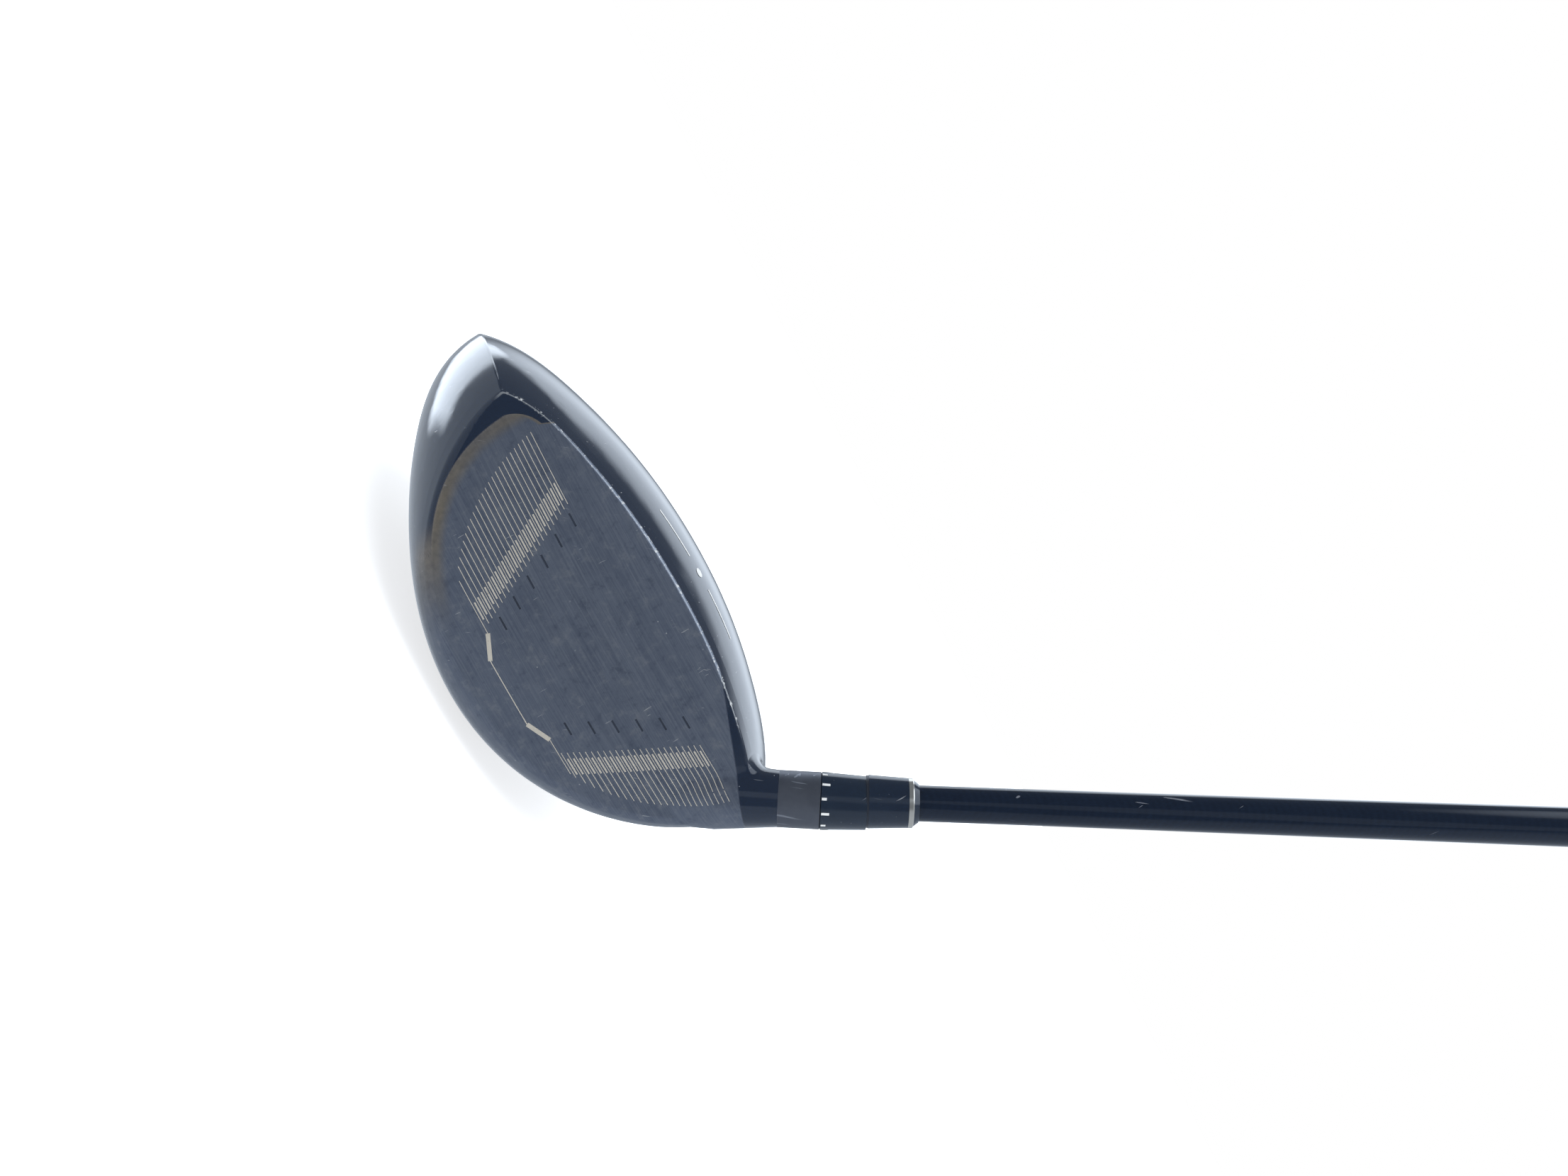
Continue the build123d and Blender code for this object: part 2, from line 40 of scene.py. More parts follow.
# ---- the head's face: part of a ball ----
FACE_RADIUS = 300.0
FACE_LOFT = math.radians(10.5)
FACE_MID_X = 7.0
FACE_MID_Z = 33.0
FACE_FOOT_Y = -31.0
FACE_MID_Y = FACE_FOOT_Y + FACE_MID_Z * math.tan(FACE_LOFT)
BALL_Y = FACE_MID_Y + FACE_RADIUS * math.cos(FACE_LOFT)
BALL_Z = FACE_MID_Z - FACE_RADIUS * math.sin(FACE_LOFT)
BALL = Vector((FACE_MID_X, BALL_Y, BALL_Z))

# ---- axes of the hosel and of the shaft ----
HOSEL_TOP = Vector((65.3, -14.0, 65.4))
HOSEL_LIE = math.radians(59.5)
SHAFT_LIE = math.radians(60.5)
CANT_PIVOT = -12.0
HOSEL_DIR = Vector((math.cos(HOSEL_LIE), 0, math.sin(HOSEL_LIE)))
SHAFT_DIR = Vector((math.cos(SHAFT_LIE), 0, math.sin(SHAFT_LIE)))
SHAFT_ZERO = HOSEL_TOP + HOSEL_DIR * CANT_PIVOT - SHAFT_DIR * CANT_PIVOT


# ======== shader building ========
class Nodes:
    """Node makers that take numbers or sockets."""

    def __init__(self, tree, place):
        self.tree = tree
        self.place = self.add("ShaderNodeTexCoord").outputs[place]

    def add(self, kind, inputs=None, **settings):
        node = self.tree.nodes.new(kind)
        for key, value in settings.items():
            setattr(node, key, value)
        for key, value in (inputs or {}).items():
            self.feed(node.inputs[key], value)
        return node

    def feed(self, socket, value):
        if isinstance(value, bpy.types.NodeSocket):
            self.tree.links.new(value, socket)
        else:
            socket.default_value = value

    def math(self, operation, a, b=0.0):
        node = self.add("ShaderNodeMath", {0: a, 1: b}, operation=operation)
        return node.outputs[0]

    def vector(self, operation, a, b=(0, 0, 0)):
        node = self.add("ShaderNodeVectorMath", {0: a, 1: b}, operation=operation)
        scalar = operation in ("LENGTH", "DOT_PRODUCT", "DISTANCE")
        return node.outputs["Value" if scalar else "Vector"]

    def axis(self, letter):
        node = self.add("ShaderNodeSeparateXYZ", {0: self.place})
        return node.outputs[letter]

    def step(self, value, low, high):
        """0 below low, 1 above high, smooth between. Low may be the larger: then it falls."""
        node = self.add(
            "ShaderNodeMapRange",
            {"Value": value, "From Min": low, "From Max": high},
            interpolation_type="SMOOTHSTEP",
        )
        return node.outputs["Result"]

    def span(self, value, low, high, to_low, to_high):
        node = self.add(
            "ShaderNodeMapRange",
            {"Value": value, "From Min": low, "From Max": high, "To Min": to_low, "To Max": to_high},
        )
        return node.outputs["Result"]

    def stretched(self, scale, vector=None):
        node = self.add("ShaderNodeMapping", {"Vector": vector or self.place, "Scale": scale})
        return node.outputs["Vector"]

    def noise(self, scale, detail=3.0, rough=0.55, vector=None):
        inputs = {"Vector": vector or self.place, "Scale": scale, "Detail": detail, "Roughness": rough}
        return self.add("ShaderNodeTexNoise", inputs).outputs["Fac"]

    def cells(self, scale):
        inputs = {"Vector": self.place, "Scale": scale}
        return self.add("ShaderNodeTexVoronoi", inputs, feature="F1").outputs["Distance"]

    def rings(self, zero, direction, per_metre, detail=4.0, rough=0.6):
        """Turning marks: noise that changes only along an axis."""
        along = self.math("MULTIPLY", self.along(zero, direction), per_metre)
        vector = self.add("ShaderNodeCombineXYZ", {0: along}).outputs[0]
        return self.noise(1.0, detail, rough, vector)

    def blend(self, share, a, b):
        node = self.add("ShaderNodeMix", {0: share, 6: colour(a), 7: colour(b)}, data_type="RGBA")
        return node.outputs[2]

    def bump(self, height, depth, strength=1.0, normal=None):
        inputs = {"Height": height, "Distance": depth * MM, "Strength": strength}
        node = self.add("ShaderNodeBump", inputs)
        if normal is not None:
            self.feed(node.inputs["Normal"], normal)
        return node.outputs["Normal"]

    def along(self, zero, direction):
        """Distance along an axis, in metres."""
        return self.vector("DOT_PRODUCT", self.vector("SUBTRACT", self.place, zero * MM), direction)

    def every(self, first, *others):
        """The product of several masks."""
        for other in others:
            first = self.math("MULTIPLY", first, other)
        return first


class Shader(Nodes):
    """A procedural material on the object's own coordinates."""

    def __init__(self, name):
        self.material = bpy.data.materials.new(name)
        self.material.use_nodes = True
        super().__init__(self.material.node_tree, "Object")
        self.bsdf = self.tree.nodes["Principled BSDF"]

    def surface(self, **values):
        for key, value in values.items():
            self.feed(self.bsdf.inputs[key.replace("_", " ")], value)


def colour(value):
    if isinstance(value, tuple) and len(value) == 3:
        return (*value, 1.0)
    return value


def fine_scratches(s, scale, threshold):
    """Sparse hairlines in two directions: 1 on a scratch."""
    turned = s.add("ShaderNodeMapping", {"Vector": s.place, "Rotation": (0.4, 0.9, 0.3)}).outputs["Vector"]
    first = s.noise(scale, 2.0, 0.5, s.stretched((0.12, 1.0, 3.0), turned))
    second = s.noise(scale, 2.0, 0.5, s.stretched((2.6, 0.9, 0.15)))
    sparse = s.step(s.noise(scale * 0.18, 1.0), 0.52, 0.62)
    first = s.step(first, threshold, threshold + 0.02)
    second = s.step(second, threshold, threshold + 0.02)
    return s.math("MULTIPLY", s.math("MAXIMUM", first, second), sparse)


# ======== materials ========
def ball_depth(s):
    """How far a point lies behind the ball that the face is part of, in metres."""
    return s.math("SUBTRACT", FACE_RADIUS * MM, s.vector("DISTANCE", s.place, BALL * MM))


# ---- the outline of the brushed part of the face ----
OUTLINE_MID_X = 7.0
OUTLINE_HALF = 55.6
OUTLINE_TOP_Z = 52.0
OUTLINE_DEEP = 41.0
OUTLINE_POWER = 2.5
HEEL_FALL = 1.2  # how much lower the heel side starts to round in than the toe side
CORNER_X = -39.6  # centre of the round corner at the toe end of the top line
CORNER_Z = 43.0
CORNER_R = 9.0
CORNER_LIFT_X = -43.0  # from here towards the heel the corner opens to the top line
CORNER_LIFT = 2.0


def satin_limit(s):
    """Below 1 on the brushed part of the face, above 1 outside its rounded outline."""
    x = s.axis("X")
    z = s.axis("Z")
    off_middle = s.math("ABSOLUTE", s.math("SUBTRACT", x, OUTLINE_MID_X * MM))
    side = s.math("DIVIDE", off_middle, OUTLINE_HALF * MM)
    below_top = s.math("MAXIMUM", s.math("SUBTRACT", OUTLINE_TOP_Z * MM, z), 0.0)
    foot = s.math("DIVIDE", below_top, OUTLINE_DEEP * MM)
    outline = s.math("ADD", s.math("POWER", side, OUTLINE_POWER), s.math("POWER", foot, OUTLINE_POWER))
    toe = s.math("LESS_THAN", x, OUTLINE_MID_X * MM)
    outline = s.math("MULTIPLY", outline, s.math("MAXIMUM", toe, s.math("DIVIDE", foot, HEEL_FALL)))
    past_side = s.math("MAXIMUM", s.math("SUBTRACT", CORNER_X * MM, x), 0.0)
    past_side = s.math("DIVIDE", past_side, CORNER_R * MM)
    lift = s.math("MAXIMUM", s.math("ADD", x, -CORNER_LIFT_X * MM), 0.0)
    lift = s.math("MULTIPLY", lift, CORNER_LIFT)
    past_top = s.math("SUBTRACT", s.math("SUBTRACT", z, CORNER_Z * MM), lift)
    past_top = s.math("DIVIDE", s.math("MAXIMUM", past_top, 0.0), CORNER_R * MM)
    corner = s.math("ADD", s.math("POWER", past_side, 2.0), s.math("POWER", past_top, 2.0))
    return s.math("MAXIMUM", outline, corner)


BLACK = (0.003, 0.0085, 0.022)  # the gloss paint, slightly blue
NECK_SLOPE = 0.36  # the satin ends beside the neck on the line z + slope * x
NECK_LINE = 69.0


def satin_share(s, depth):
    """1 on the brushed finish, 0 on the gloss paint: the face and, low down, its turned-under edge."""
    x = s.axis("X")
    z = s.axis("Z")
    front = s.step(depth, 0.75 * MM, 0.6 * MM)
    under = s.every(s.step(depth, 9 * MM, 3 * MM), s.step(z, 34 * MM, 28 * MM))
    toe_side = s.step(x, -24 * MM, -36 * MM)
    gloss_toe = s.every(toe_side, s.step(satin_limit(s), 0.985, 1.01))
    beside_neck = s.math("ADD", z, s.math("MULTIPLY", x, NECK_SLOPE))
    below_neck = s.every(s.step(depth, 4 * MM, 3 * MM), s.step(x, 36 * MM, 38 * MM))
    near = s.math("MAXIMUM", s.math("MAXIMUM", front, under), below_neck)
    short_of_neck = s.step(beside_neck, (NECK_LINE + 0.6) * MM, NECK_LINE * MM)
    return s.every(near, s.math("SUBTRACT", 1.0, gloss_toe), short_of_neck)


def top_line(s, depth):
    """Along the top line of the face, where strikes and headcovers chip the paint."""
    on_rim = s.every(s.step(depth, 0.02 * MM, 0.1 * MM), s.step(depth, 0.9 * MM, 0.4 * MM))
    high = s.every(s.step(s.axis("Z"), 46 * MM, 50 * MM), s.step(s.axis("X"), 42 * MM, 36 * MM))
    return s.every(on_rim, high)


def rim_highlight_line(s, depth):
    """A light hairline painted along the rim of the top line: a painted edge highlight."""
    line = s.every(s.step(depth, 0.05 * MM, 0.12 * MM), s.step(depth, 0.36 * MM, 0.22 * MM))
    return s.every(line, s.step(s.axis("Z"), 44 * MM, 47 * MM), s.step(s.axis("X"), 42 * MM, 36 * MM))


def head_finish(name):
    """Brushed satin on the face, deep gloss elsewhere, with the wear of a played club, a painted gold
    reflection near the toe and a painted highlight along the top line.
    """
    s = Shader(name)
    depth = ball_depth(s)
    satin = satin_share(s, depth)

    brush = s.noise(1.0, 4.0, 0.6, s.stretched((70, 70, 3600)))
    broad = s.noise(1.0, 3.0, 0.5, s.stretched((14, 14, 420)))
    cloud = s.noise(95, 4.0, 0.6)
    mottle = s.noise(330, 5.0, 0.7)
    metal = s.blend(cloud, (0.096, 0.114, 0.158), (0.165, 0.186, 0.232))
    metal = s.blend(s.span(brush, 0.4, 0.75, 0.0, 0.6), metal, (0.22, 0.238, 0.275))
    metal = s.blend(s.every(s.step(mottle, 0.5, 0.75), 0.55), metal, (0.255, 0.265, 0.285))
    metal = s.blend(s.every(s.step(mottle, 0.46, 0.3), 0.4), metal, (0.062, 0.077, 0.115))
    # Painted reflection: a warm gold band painted into the face's colour inside its outline towards the toe,
    # standing in for a warm lamp reflected in the bevel.
    gold_reflection_tint = s.blend(s.noise(700, 3.0), (0.13, 0.112, 0.092), (0.31, 0.265, 0.205))
    gold_reflection_band = s.every(s.step(satin_limit(s), 0.82, 0.95), s.step(s.axis("X"), -10 * MM, -34 * MM))
    gold_reflection_band = s.every(gold_reflection_band, s.span(s.noise(45, 3.0), 0.35, 0.65, 0.6, 1.0))
    metal = s.blend(gold_reflection_band, metal, gold_reflection_tint)
    specks = s.step(s.cells(330), 0.075, 0.045)
    specks = s.every(specks, s.step(s.noise(60, 2.0), 0.5, 0.62))
    satin_marks = s.every(s.math("MAXIMUM", specks, fine_scratches(s, 900, 0.72)), satin)
    metal = s.blend(s.math("MULTIPLY", satin_marks, 0.5), metal, (0.62, 0.62, 0.6))

    flake = s.cells(2600)
    paint = s.blend(s.step(flake, 0.12, 0.03), BLACK, (0.012, 0.019, 0.034))
    dust = s.every(s.step(s.cells(420), 0.06, 0.03), s.step(s.noise(70, 2.0), 0.52, 0.6), 0.5)
    paint_marks = s.math("MAXIMUM", dust, s.math("MULTIPLY", fine_scratches(s, 700, 0.72), 0.45))
    paint = s.blend(paint_marks, paint, (0.35, 0.36, 0.37))

    chips = s.every(top_line(s, depth), s.step(s.noise(900, 4.0, 0.7), 0.55, 0.6))
    base = s.blend(satin, paint, metal)
    base = s.blend(s.math("MULTIPLY", chips, 0.6), base, (0.74, 0.74, 0.72))
    # Painted highlight: the top line's rim is made lighter along a hairline.
    base = s.blend(s.math("MULTIPLY", rim_highlight_line(s, depth), 0.22), base, (0.6, 0.62, 0.62))
    satin_rough = s.math("ADD", s.span(brush, 0.3, 0.7, 0.33, 0.46), s.span(broad, 0.3, 0.7, -0.03, 0.03))
    gloss_rough = s.span(s.noise(55, 4.0, 0.6), 0.35, 0.7, 0.045, 0.11)
    rough = s.add("ShaderNodeMix", {0: satin, 2: gloss_rough, 3: satin_rough}).outputs[0]
    rough = s.math("ADD", rough, s.math("MULTIPLY", chips, 0.4))
    normal = s.bump(s.every(brush, satin), 0.012, 0.6)
    normal = s.bump(s.noise(850, 2.0, 0.5), 0.005, 0.3, normal)
    normal = s.bump(s.math("MAXIMUM", satin_marks, paint_marks), 0.012, 0.4, normal)
    solid = s.math("SUBTRACT", 1.0, chips)
    s.surface(Base_Color=base, Metallic=s.every(satin, solid, 0.86), Roughness=rough, Normal=normal)
    s.surface(Coat_Weight=s.every(s.math("SUBTRACT", 1.0, satin), 0.4), Coat_Roughness=0.03)
    return s.material


def turned_metal(name, zero, direction, light, dark, rough, metallic=1.0, per_metre=2600):
    """Lathe-turned metal: rings round an axis, small nicks, rough and smooth patches."""
    s = Shader(name)
    lines = s.rings(zero, direction, per_metre)
    patch = s.noise(160, 4.0, 0.65)
    nicks = fine_scratches(s, 320, 0.68)
    base = s.blend(patch, dark, light)
    fresh_metal = tuple(min(1.0, c * 1.9 + 0.1) for c in light)
    base = s.blend(s.math("MULTIPLY", nicks, 0.5), base, fresh_metal)
    uneven = s.span(patch, 0.3, 0.7, rough - 0.06, rough + 0.08)
    roughness = s.math("ADD", uneven, s.span(lines, 0.3, 0.7, -0.03, 0.03))
    normal = s.bump(lines, 0.006, 0.6)
    normal = s.bump(nicks, 0.01, 0.5, normal)
    s.surface(Base_Color=base, Roughness=roughness, Normal=normal, Metallic=metallic)
    return s.material


def lacquer(name, dark, light, rough, zero, direction):
    """Black anodised or moulded gloss parts of the adapter: faint haze, dust and hairlines."""
    s = Shader(name)
    haze = s.noise(130, 4.0, 0.6)
    base = s.blend(haze, dark, light)
    dust = s.math("MULTIPLY", s.step(s.cells(700), 0.07, 0.03), s.step(s.noise(160, 2.0), 0.5, 0.6))
    marks = s.math("MAXIMUM", dust, fine_scratches(s, 420, 0.69))
    base = s.blend(s.math("MULTIPLY", marks, 0.4), base, (0.4, 0.41, 0.43))
    s.surface(
        Base_Color=base,
        Roughness=s.span(haze, 0.3, 0.7, rough, rough + 0.07),
        Normal=s.bump(s.rings(zero, direction, 1800, 2.0, 0.5), 0.003, 0.35),
        Coat_Weight=0.15,
        Coat_Roughness=0.08,
    )
    return s.material


def graphite():
    """Blue-black lacquer with carbon tow just visible under it."""
    s = Shader("graphite_shaft")
    along = s.along(SHAFT_ZERO, SHAFT_DIR)
    tow = s.noise(1.0, 3.0, 0.6, s.stretched((900, 900, 30)))
    weave = s.add(
        "ShaderNodeTexWave",
        {"Vector": s.place, "Scale": 260.0, "Distortion": 1.2, "Detail": 2.0},
        bands_direction="DIAGONAL",
    ).outputs["Fac"]
    base = s.blend(tow, (0.0012, 0.004, 0.011), (0.003, 0.008, 0.02))
    base = s.blend(s.math("MULTIPLY", weave, 0.2), base, (0.006, 0.013, 0.028))
    scratch = fine_scratches(s, 300, 0.70)
    base = s.blend(s.math("MULTIPLY", scratch, 0.4), base, (0.3, 0.31, 0.34))
    under_grip = s.step(along, 0.86, 0.9)
    rough = s.span(s.noise(90, 3.0), 0.3, 0.7, 0.07, 0.13)
    rough = s.math("ADD", rough, s.math("MULTIPLY", under_grip, 0.05))
    s.surface(
        Base_Color=base,
        Roughness=rough,
        Normal=s.bump(s.noise(700, 2.0), 0.003, 0.25),
        Specular_IOR_Level=0.32,
        Coat_Weight=0.12,
        Coat_Roughness=0.05,
    )
    return s.material


def rubber(name):
    """Matt black rubber with pores and a little dust."""
    s = Shader(name)
    grain = s.noise(2600, 4.0, 0.65)
    cloud = s.noise(60, 4.0, 0.6)
    base = s.blend(cloud, (0.016, 0.016, 0.018), (0.034, 0.034, 0.036))
    dust = s.step(s.cells(1500), 0.16, 0.04)
    base = s.blend(s.math("MULTIPLY", dust, 0.16), base, (0.2, 0.19, 0.18))
    pores = s.cells(1900)
    s.surface(
        Base_Color=base,
        Roughness=s.span(grain, 0.3, 0.7, 0.62, 0.86),
        Normal=s.bump(pores, 0.05, 0.5, s.bump(grain, 0.04, 0.6)),
    )
    return s.material


def paint_fill(name, light, dark, rough=0.42, metallic=0.0):
    """Paint or foil in a marking: thin and slightly rubbed."""
    s = Shader(name)
    wear = s.noise(1100, 4.0, 0.7)
    base = s.blend(s.noise(240, 3.0), dark, light)
    base = s.blend(s.math("MULTIPLY", s.step(wear, 0.62, 0.72), 0.7), base, tuple(c * 0.35 for c in dark))
    s.surface(
        Base_Color=base,
        Roughness=s.span(wear, 0.3, 0.7, rough - 0.08, rough + 0.12),
        Metallic=metallic,
        Normal=s.bump(wear, 0.008, 0.4),
    )
    return s.material


def cast_titanium():
    """Bare casting, inside the head."""
    s = Shader("raw_titanium")
    grain = s.noise(900, 5.0, 0.7)
    base = s.blend(s.noise(120, 3.0), (0.3, 0.29, 0.28), (0.46, 0.45, 0.43))
    s.surface(Base_Color=base, Metallic=0.9, Roughness=s.span(grain, 0.3, 0.7, 0.42, 0.6))
    s.surface(Normal=s.bump(grain, 0.04, 0.7))
    return s.material


def paper_tape():
    """Masking paper under the grip."""
    s = Shader("tape")
    fibre = s.noise(1.0, 4.0, 0.7, s.stretched((1500, 1500, 500)))
    base = s.blend(fibre, (0.5, 0.46, 0.35), (0.68, 0.64, 0.52))
    s.surface(Base_Color=base, Roughness=s.span(fibre, 0.3, 0.7, 0.75, 0.92), Normal=s.bump(fibre, 0.03, 0.5))
    return s.material


def moulded(name, light, dark, rough):
    """Plain moulded plastic with a fine grain."""
    s = Shader(name)
    grain = s.noise(1700, 3.0, 0.6)
    base = s.blend(s.noise(200, 3.0), dark, light)
    s.surface(Base_Color=base, Roughness=s.span(grain, 0.3, 0.7, rough - 0.05, rough + 0.08))
    s.surface(Normal=s.bump(grain, 0.012, 0.5))
    return s.material


WEIGHT_AT = Vector((-3.0, 58.5, 11.6))
WEIGHT_DIR = Vector((0, math.sin(math.radians(20)), -math.cos(math.radians(20))))

satin_ring = turned_metal(
    "satin_titanium", HOSEL_TOP, HOSEL_DIR, (0.125, 0.135, 0.16), (0.068, 0.075, 0.095), 0.38, 0.8, 1500
)
port_metal = turned_metal(
    "port_titanium", WEIGHT_AT, WEIGHT_DIR, (0.2, 0.2, 0.21), (0.11, 0.11, 0.12), 0.36, 0.9
)
seam_metal = turned_metal(
    "seam_titanium", HOSEL_TOP, HOSEL_DIR, (0.06, 0.065, 0.08), (0.03, 0.034, 0.045), 0.36, 0.8, 1500
)
weight_steel = turned_metal("weight_steel", WEIGHT_AT, WEIGHT_DIR, (0.5, 0.49, 0.48), (0.33, 0.33, 0.33), 0.3)
screw_steel = turned_metal("screw_steel", HOSEL_TOP, HOSEL_DIR, (0.36, 0.36, 0.37), (0.2, 0.2, 0.21), 0.34)
bright = turned_metal(
    "bright_ring", SHAFT_ZERO, SHAFT_DIR, (0.7, 0.68, 0.64), (0.5, 0.47, 0.42), 0.2, 1.0, 3000
)
brass = turned_metal("brass", SHAFT_ZERO, SHAFT_DIR, (0.74, 0.55, 0.27), (0.5, 0.36, 0.17), 0.3)
sleeve = lacquer("sleeve_black", (0.003, 0.008, 0.019), (0.006, 0.014, 0.028), 0.11, HOSEL_TOP, HOSEL_DIR)
ferrule = lacquer("ferrule_black", (0.0025, 0.007, 0.018), (0.005, 0.012, 0.026), 0.08, SHAFT_ZERO, SHAFT_DIR)
black_paint = head_finish("gloss_black_paint")
face_metal = head_finish("face_satin")
raw = cast_titanium()
marking = paint_fill("marking", (0.72, 0.72, 0.7), (0.5, 0.5, 0.49))
grip_rubber = rubber("grip_rubber")

FINISH = {
    "face_plate": face_metal,
    "crown_shell": black_paint,
    "sole_body": black_paint,
    "sole_rib_toe": raw,
    "sole_rib_heel": raw,
    "alignment_mark": marking,
    "weight_port": port_metal,
    "weight_gasket": moulded("gasket", (0.04, 0.04, 0.04), (0.02, 0.02, 0.02), 0.6),
    "rear_weight": weight_steel,
    "hosel_collar": satin_ring,
    "adapter_sleeve": sleeve,
    "index_ticks": marking,
    "index_dots": marking,
    "sleeve_spacer": seam_metal,
    "ferrule": ferrule,
    "ferrule_ring": bright,
    "ferrule_tip": ferrule,
    "screw_washer": screw_steel,
    "hosel_screw": screw_steel,
    "shaft": graphite(),
    "tip_plug": moulded("plug_plastic", (0.5, 0.5, 0.48), (0.38, 0.38, 0.36), 0.55),
    "grip_tape": paper_tape(),
    "grip": grip_rubber,
    "grip_cap": grip_rubber,
    "butt_counterweight": brass,
}

for name, node in nodes.items():
    node.data.materials.clear()
    node.data.materials.append(FINISH[name])


# ======== thin markings that follow the face ========
class Skin:
    """The outer surface of some CAD nodes, to lay thin markings on."""

    def __init__(self, *names):
        corners, faces = [], []
        for name in names:
            first = len(corners)
            corners += [tuple(v.co) for v in nodes[name].data.vertices]
            faces += [[first + i for i in p.vertices] for p in nodes[name].data.polygons]
        self.tree = BVHTree.FromPolygons(corners, faces)

    def seen_from_front(self, x, z, lift):
        """The point of the front at x, z, lifted outwards. Millimetres in, metres out."""
        place, normal, _, _ = self.tree.ray_cast(Vector((x, -90, z)) * MM, Vector((0, 1, 0)))
        return place + normal * (lift * MM)


BAR_STEP = 1.2  # a bar bends with the surface at least this often
BAR_SINK = 0.02


class Bars:
    """Closed thin bars laid on a surface, gathered in one mesh."""

    def __init__(self):
        self.vertices = []
        self.faces = []

    def lay(self, start, end, width, top, point):
        """A bar from start to end, two plane coordinates each. point(a, b, lift) gives its place."""
        run = Vector((end[0] - start[0], end[1] - start[1]))
        across = Vector((-run.y, run.x)).normalized() * (width / 2)
        count = max(1, math.ceil(run.length / BAR_STEP))
        first = len(self.vertices)
        for i in range(count + 1):
            a = start[0] + run.x * i / count
            b = start[1] + run.y * i / count
            for side, lift in ((-1, -BAR_SINK), (1, -BAR_SINK), (1, top), (-1, top)):
                self.vertices.append(point(a + across.x * side, b + across.y * side, lift))
        for i in range(count):
            ring = first + 4 * i
            for k in range(4):
                self.faces.append((ring + k, ring + (k + 1) % 4, ring + 4 + (k + 1) % 4, ring + 4 + k))
        last = first + 4 * count
        self.faces.append((first, first + 3, first + 2, first + 1))
        self.faces.append((last, last + 1, last + 2, last + 3))

    def piece(self, name, material, slot, body):
        mesh = bpy.data.meshes.new(name)
        mesh.from_pydata([tuple(v) for v in self.vertices], [], self.faces)
        mesh.validate()
        mesh.update()
        made = bpy.data.objects.new(name, mesh)
        bpy.context.scene.collection.objects.link(made)
        made.data.materials.append(material)
        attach(made, body)
        return made


def on_arc(middle, radius, way, z):
    """x at height z on the round outer end of a fan of lines; way is -1 towards the toe."""
    return middle[0] + way * math.sqrt(radius**2 - (z - middle[1]) ** 2)


def on_line(start, end, z):
    """x at height z on the straight inner end of a fan of lines."""
    return start[0] + (end[0] - start[0]) * (z - start[1]) / (end[1] - start[1])


LINE_COUNT = 24
LINE_TOP_Z = 48.4
LINE_LOW_Z = 21.0
HEEL_TOP_Z = 47.8
LINE_WIDTH = 0.16
BAR_WIDTH = 0.36
BAR_LENGTH = 4.3
BAR_END = 1.3
INK = 0.035

# each fan: the middle and radius of its round outer end, and its straight inner end, as x and z
TOE_ARC = (4.3, 60.2)
TOE_ARC_R = 48.1
TOE_INNER = ((-24.3, 48.5), (-8.6, 19.8))
HEEL_ARC = (12.7, 58.2)
HEEL_ARC_R = 42.0
HEEL_INNER = ((38.7, 48.0), (24.2, 20.2))

front = Skin("face_plate", "sole_body", "crown_shell").seen_from_front
lines = Bars()
pitch = (LINE_TOP_Z - LINE_LOW_Z) / (LINE_COUNT - 1)
toe_fan = (TOE_ARC, TOE_ARC_R, TOE_INNER, 1, LINE_TOP_Z)
heel_fan = (HEEL_ARC, HEEL_ARC_R, HEEL_INNER, -1, HEEL_TOP_Z)
for middle, radius, inner, way, top in (toe_fan, heel_fan):
    for i in range(LINE_COUNT):
        z = top - pitch * i
        outer_x = on_arc(middle, radius, -way, z)
        inner_x = on_line(*inner, z)
        lines.lay((outer_x, z), (inner_x, z), LINE_WIDTH, INK, front)
        bar_x = inner_x - way * BAR_END
        bar_z = z - pitch / 2
        bar_start = bar_x - way * BAR_LENGTH
        reach = abs(on_arc(middle, radius, -way, bar_z) - bar_x)
        if reach > BAR_LENGTH:
            lines.lay((bar_start, bar_z), (bar_x, bar_z), BAR_WIDTH, INK, front)

# the line under the face's middle, from toe to heel: x, z and the width from there on
SWEEP = (
    (-20.6, 19.7, LINE_WIDTH),
    (-7.4, 19.7, 1.0),
    (-1.7, 17.2, LINE_WIDTH * 1.3),
    (14.8, 17.2, 1.0),
    (20.4, 19.8, LINE_WIDTH),
    (29.7, 19.8, LINE_WIDTH),
)
for (x0, z0, width), (x1, z1, _) in zip(SWEEP, SWEEP[1:]):
    lines.lay((x0, z0), (x1, z1), width, INK, front)
foil = paint_fill("face_line_foil", (0.52, 0.48, 0.41), (0.4, 0.365, 0.31), 0.36, 0.35)
lines.piece("face_lines", foil, "marking", "head")

DASH_COUNT = 6
DASH_LENGTH = 3.3
DASH_WIDTH = 0.42
DASH_THICK = 0.02
TOE_DASHES = ((-22.3, 47.7), (-9.4, 23.7), 1)
HEEL_DASHES = ((34.0, 47.8), (21.8, 24.5), -1)
dashes = Bars()
for first, last, way in (TOE_DASHES, HEEL_DASHES):
    for i in range(DASH_COUNT):
        share = i / (DASH_COUNT - 1)
        x = first[0] + (last[0] - first[0]) * share
        z = first[1] + (last[1] - first[1]) * share
        end_x = x + way * DASH_LENGTH
        dashes.lay((x, z), (end_x, z), DASH_WIDTH, DASH_THICK, front)
groove = moulded("groove_black", (0.016, 0.024, 0.042), (0.006, 0.01, 0.02), 0.6)
dashes.piece("face_dashes", groove, "face_satin", "head")


# ======== the grip's moulded pattern ========
GRIP_PITCH = 5.2
GRIP_ROWS = 40
GRIP_START = 835.0
GRIP_COLUMNS = 12
NUB_LONG = 3.0
NUB_WIDE = 1.5
NUB_HIGH = 0.32
side_one = SHAFT_DIR.orthogonal().normalized()
side_two = SHAFT_DIR.cross(side_one)
rubber_skin = Skin("grip")


